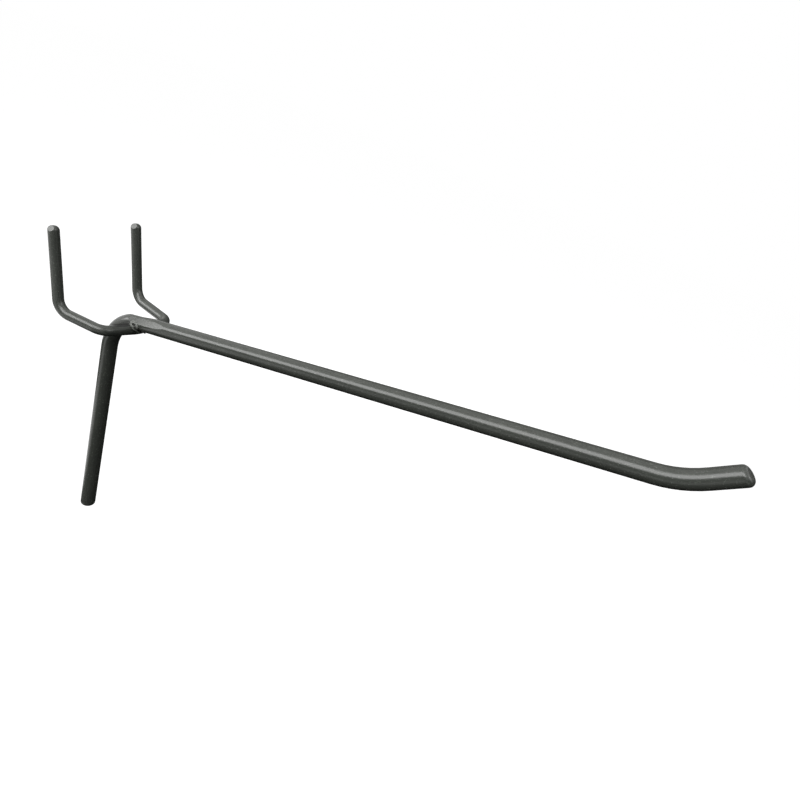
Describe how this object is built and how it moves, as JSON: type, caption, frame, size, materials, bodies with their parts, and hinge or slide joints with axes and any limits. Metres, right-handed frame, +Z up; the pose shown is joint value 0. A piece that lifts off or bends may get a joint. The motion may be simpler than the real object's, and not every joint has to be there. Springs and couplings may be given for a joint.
{
  "type": "pegboard hook",
  "caption": "Welded wire hook for pegboard: a rising arm with an upturned tip, a leg that props it off the board, and a bent U of thinner wire whose pegs hook behind the holes.",
  "frame": {"origin": "on the board's front face, midway between the pegs, at the level of the two runs that pass through the board's holes", "axes": "-Y out of the board along the arm's reach, +X along the row of holes, +Z up; the leg lies flat on the plane y = 0"},
  "size_m": [0.0282, 0.1658, 0.1092],
  "materials": {
    "arm_lacquer": "semi-gloss dark grey lacquer over drawn steel wire",
    "peg_lacquer": "semi-gloss dark grey lacquer over drawn steel wire",
    "weld_lacquer": "rough weld flash under the same dark grey lacquer"
  },
  "bodies": {
    "root": {"arm_wire": "arm_lacquer", "peg_wire": "peg_lacquer", "weld_flash": "weld_lacquer"}
  },
  "joints": []
}
